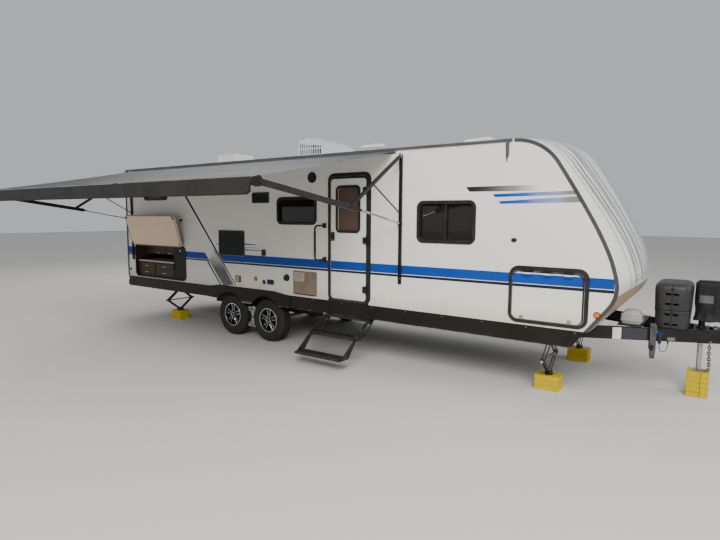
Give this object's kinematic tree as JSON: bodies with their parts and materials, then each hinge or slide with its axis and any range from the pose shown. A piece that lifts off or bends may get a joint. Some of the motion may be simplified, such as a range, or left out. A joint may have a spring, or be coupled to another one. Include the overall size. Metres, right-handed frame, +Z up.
{
  "type": "travel caravan",
  "caption": "Long travel caravan with a raked, rounded nose, a rolled-out awning, an open outside kitchen, folding entry steps and tandem wheels, standing on blocks.",
  "frame": {"origin": "centre of the ball socket in the coupler at the tip of the drawbar", "axes": "+X forward along the drawbar towards the towing vehicle, +Z up, +Y to the left side"},
  "size_m": [10.6022, 5.1268, 3.4213],
  "materials": {
    "wall": "gloss laminate, warm off-white",
    "cap": "gloss gelcoat white",
    "lower_panel": "satin tan",
    "roof_skin": "matte white membrane",
    "floor_board": "plain board with dark underside",
    "frame_paint": "satin black",
    "window_trim": "black",
    "tinted_glass": "bronze tint",
    "door_skin": "gloss off-white",
    "hatch_skin": "satin beige inside",
    "cabinet": "dark laminate",
    "skirt_sheet": "satin black",
    "moulding": "dark grey coated",
    "fitting": "black",
    "heater_paint": "satin beige-brown",
    "plug_body": "blue cap on a black body",
    "cable_rubber": "black",
    "handle": "black coated tube",
    "lens": "amber",
    "tyre": "matte black",
    "rim": "black with machined edges",
    "chock": "bright",
    "spring_steel": "dark",
    "gas_cover": "charcoal",
    "battery": "light grey",
    "jack_steel": "satin black",
    "leg_steel": "zinc plated",
    "cover_cloth": "black woven",
    "ac_shell": "pale blue-grey",
    "vent_plastic": "off-white",
    "aerial": "cream",
    "stab_steel": "satin black",
    "yellow_block": "yellow",
    "step_coat": "black coated",
    "awning_metal": "dark coated",
    "awning_cloth": "light grey below, charcoal above",
    "valance_cloth": "charcoal"
  },
  "bodies": {
    "caravan": {"air_conditioner": "ac_shell", "awning_arms": "awning_metal", "awning_fabric": "awning_cloth", "awning_rail": "moulding", "awning_roller": "awning_metal", "awning_valance": "valance_cloth", "axles": "frame_paint", "battery_box": "battery", "chassis_frame": "frame_paint", "corner_mouldings": "moulding", "coupler": "frame_paint", "door_frames": "window_trim", "drip_rails": "moulding", "floor": "floor_board", "front_cap": "cap", "gas_bottle_cover": "gas_cover", "jack_cover": "cover_cloth", "jack_housing": "jack_steel", "kitchen_cabinet": "cabinet", "leaf_springs": "spring_steel", "left_wall": "wall", "levelling_blocks": "yellow_block", "lights": "lens", "lower_front_panel": "lower_panel", "rear_wall": "wall", "right_wall": "wall", "roof": "roof_skin", "roof_vents": "vent_plastic", "skirts": "skirt_sheet", "stabilisers": "stab_steel", "tow_cable": "cable_rubber", "tow_plug": "plug_body", "tv_aerial": "aerial", "heater_cover": "heater_paint", "wall_fittings": "fitting", "wheel_chocks": "chock", "window_frames": "window_trim", "window_glass": "tinted_glass"},
    "front_right_wheel": {"front_right_tyre": "tyre", "front_right_rim": "rim"},
    "front_left_wheel": {"front_left_tyre": "tyre", "front_left_rim": "rim"},
    "rear_right_wheel": {"rear_right_tyre": "tyre", "rear_right_rim": "rim"},
    "rear_left_wheel": {"rear_left_tyre": "tyre", "rear_left_rim": "rim"},
    "entry_door": {"entry_door": "door_skin", "entry_door_glass": "tinted_glass"},
    "right_baggage_door": {"right_baggage_door": "door_skin"},
    "left_baggage_door": {"left_baggage_door": "door_skin"},
    "kitchen_door": {"kitchen_door": "hatch_skin"},
    "jack_leg": {"jack_leg": "leg_steel"},
    "upper_steps": {"upper_steps": "step_coat"},
    "lower_step": {"lower_step": "step_coat"},
    "grab_handle": {"grab_handle": "handle"}
  },
  "joints": [
    {"name": "front_right_spin", "type": "hinge", "parent": "caravan", "child": "front_right_wheel", "pos_m": [-6.389, -1.058, -0.338], "axis": [0, 1, 0], "continuous": true},
    {"name": "front_left_spin", "type": "hinge", "parent": "caravan", "child": "front_left_wheel", "pos_m": [-6.389, 1.058, -0.338], "axis": [0, 1, 0], "continuous": true},
    {"name": "rear_right_spin", "type": "hinge", "parent": "caravan", "child": "rear_right_wheel", "pos_m": [-7.264, -1.058, -0.338], "axis": [0, 1, 0], "continuous": true},
    {"name": "rear_left_spin", "type": "hinge", "parent": "caravan", "child": "rear_left_wheel", "pos_m": [-7.264, 1.058, -0.338], "axis": [0, 1, 0], "continuous": true},
    {"name": "entry_door_swing", "type": "hinge", "parent": "caravan", "child": "entry_door", "pos_m": [-4.346, -1.242, 1.06], "axis": [0, 0, 1], "range_deg": [0, 110]},
    {"name": "right_baggage_lift", "type": "hinge", "parent": "caravan", "child": "right_baggage_door", "pos_m": [-1.852, -1.24, 0.792], "axis": [-1, 0, 0], "range_deg": [0, 170]},
    {"name": "left_baggage_lift", "type": "hinge", "parent": "caravan", "child": "left_baggage_door", "pos_m": [-1.852, 1.24, 0.792], "axis": [1, 0, 0], "range_deg": [0, 170]},
    {"name": "kitchen_door_close", "type": "hinge", "parent": "caravan", "child": "kitchen_door", "pos_m": [-9.275, -1.24, 0.804], "axis": [1, 0, 0], "range_deg": [0, 165]},
    {"name": "jack_leg_lift", "type": "slide", "parent": "caravan", "child": "jack_leg", "axis": [0, 0, 1], "range_m": [0, 0.3]},
    {"name": "upper_steps_fold", "type": "hinge", "parent": "caravan", "child": "upper_steps", "pos_m": [-4.72, -1.1, -0.088], "axis": [1, 0, 0], "range_deg": [0, 140]},
    {"name": "lower_step_fold", "type": "hinge", "parent": "upper_steps", "child": "lower_step", "pos_m": [-4.72, -1.55, -0.32], "axis": [-1, 0, 0], "range_deg": [0, 150]},
    {"name": "grab_handle_swing", "type": "hinge", "parent": "caravan", "child": "grab_handle", "pos_m": [-5.107, -1.256, 1], "axis": [0, 0, 1], "range_deg": [-85, 85]}
  ]
}
